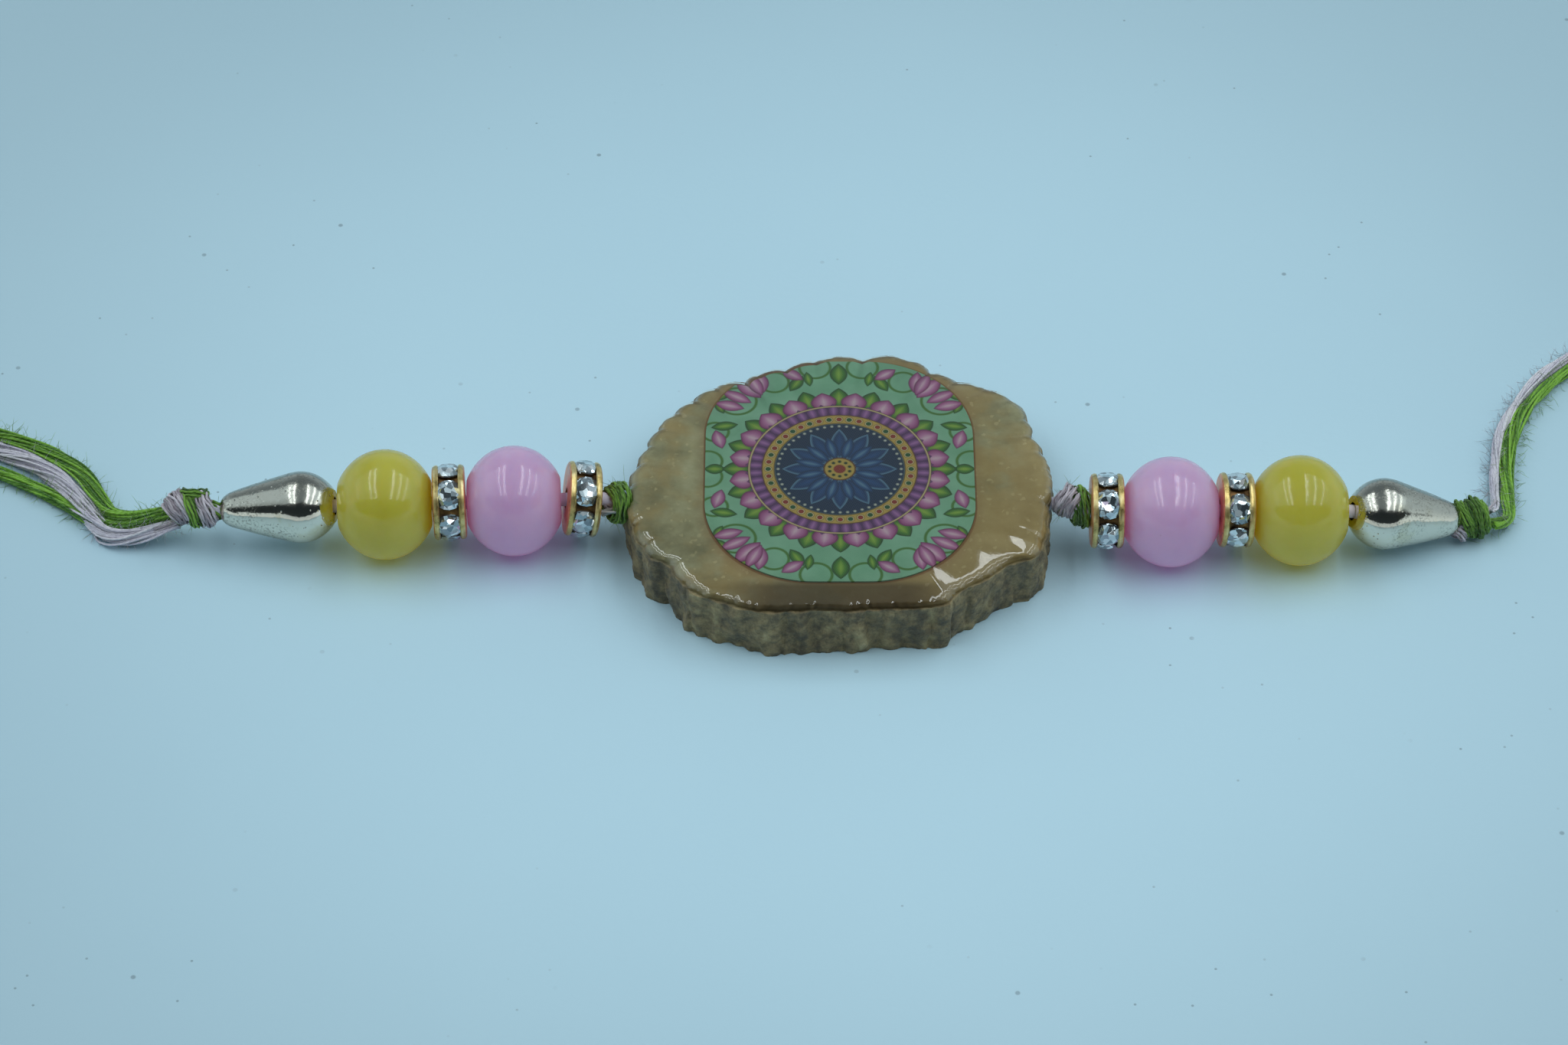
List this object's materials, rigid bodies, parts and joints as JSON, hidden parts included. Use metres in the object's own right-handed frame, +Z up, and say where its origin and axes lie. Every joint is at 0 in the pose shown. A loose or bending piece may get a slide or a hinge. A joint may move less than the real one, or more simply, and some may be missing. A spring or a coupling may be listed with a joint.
{
  "type": "rakhi thread bracelet",
  "caption": "Tie-on thread bracelet: printed, resin-coated stone slab between rows of round, teardrop and rhinestone wheel beads, with two free knotted thread tails.",
  "frame": {"origin": "centre of the slab's flat base, on the surface that the bracelet lies on", "axes": "+X along the string to the wearer's right of the print, +Y to the top edge of the print, +Z up out of the slab's printed face"},
  "size_m": [0.2461, 0.0396, 0.0091],
  "materials": {
    "slab_stone": "chipped, mottled gold and brown-grey wall, pearly tan face",
    "clear_resin": "clear, glossy, domed",
    "printed_sheet": "printed in green, pink, purple and navy",
    "rhinestone_glass": "cut and foil backed",
    "plated_brass": "worn gold plating with copper showing",
    "silver_plate": "mirror plated with fine pits",
    "pink_glass": "milky, glossy",
    "yellow_glass": "milky, glossy",
    "green_floss": "soft stranded cotton, slightly fuzzy",
    "pink_floss": "soft stranded cotton, slightly fuzzy"
  },
  "bodies": {
    "root": {"centre_stone": "slab_stone", "left_end_knot": "green_floss", "left_green_tail": "green_floss", "left_inner_green_wrap": "green_floss", "left_inner_pink_wrap": "pink_floss", "left_inner_rhinestone_1": "rhinestone_glass", "left_inner_rhinestone_2": "rhinestone_glass", "left_inner_rhinestone_3": "rhinestone_glass", "left_inner_rhinestone_4": "rhinestone_glass", "left_inner_rhinestone_5": "rhinestone_glass", "left_inner_rhinestone_6": "rhinestone_glass", "left_inner_rondelle": "plated_brass", "left_outer_green_wrap_2": "green_floss", "left_outer_pink_wrap_1": "pink_floss", "left_outer_pink_wrap_3": "pink_floss", "left_outer_rhinestone_1": "rhinestone_glass", "left_outer_rhinestone_2": "rhinestone_glass", "left_outer_rhinestone_3": "rhinestone_glass", "left_outer_rhinestone_4": "rhinestone_glass", "left_outer_rhinestone_5": "rhinestone_glass", "left_outer_rhinestone_6": "rhinestone_glass", "left_outer_rondelle": "plated_brass", "left_pink_bead": "pink_glass", "left_pink_tail": "pink_floss", "left_teardrop": "silver_plate", "left_yellow_bead": "yellow_glass", "print_panel": "printed_sheet", "resin_coat": "clear_resin", "right_end_knot": "green_floss", "right_green_tail": "green_floss", "right_inner_green_wrap": "green_floss", "right_inner_pink_wrap": "pink_floss", "right_inner_rhinestone_1": "rhinestone_glass", "right_inner_rhinestone_2": "rhinestone_glass", "right_inner_rhinestone_3": "rhinestone_glass", "right_inner_rhinestone_4": "rhinestone_glass", "right_inner_rhinestone_5": "rhinestone_glass", "right_inner_rhinestone_6": "rhinestone_glass", "right_inner_rondelle": "plated_brass", "right_outer_green_wrap_2": "green_floss", "right_outer_green_wrap_3": "green_floss", "right_outer_pink_wrap_1": "pink_floss", "right_outer_rhinestone_1": "rhinestone_glass", "right_outer_rhinestone_2": "rhinestone_glass", "right_outer_rhinestone_3": "rhinestone_glass", "right_outer_rhinestone_4": "rhinestone_glass", "right_outer_rhinestone_5": "rhinestone_glass", "right_outer_rhinestone_6": "rhinestone_glass", "right_outer_rondelle": "plated_brass", "right_pink_bead": "pink_glass", "right_pink_tail": "pink_floss", "right_teardrop": "silver_plate", "right_yellow_bead": "yellow_glass", "stringing_thread": "pink_floss"}
  },
  "joints": []
}
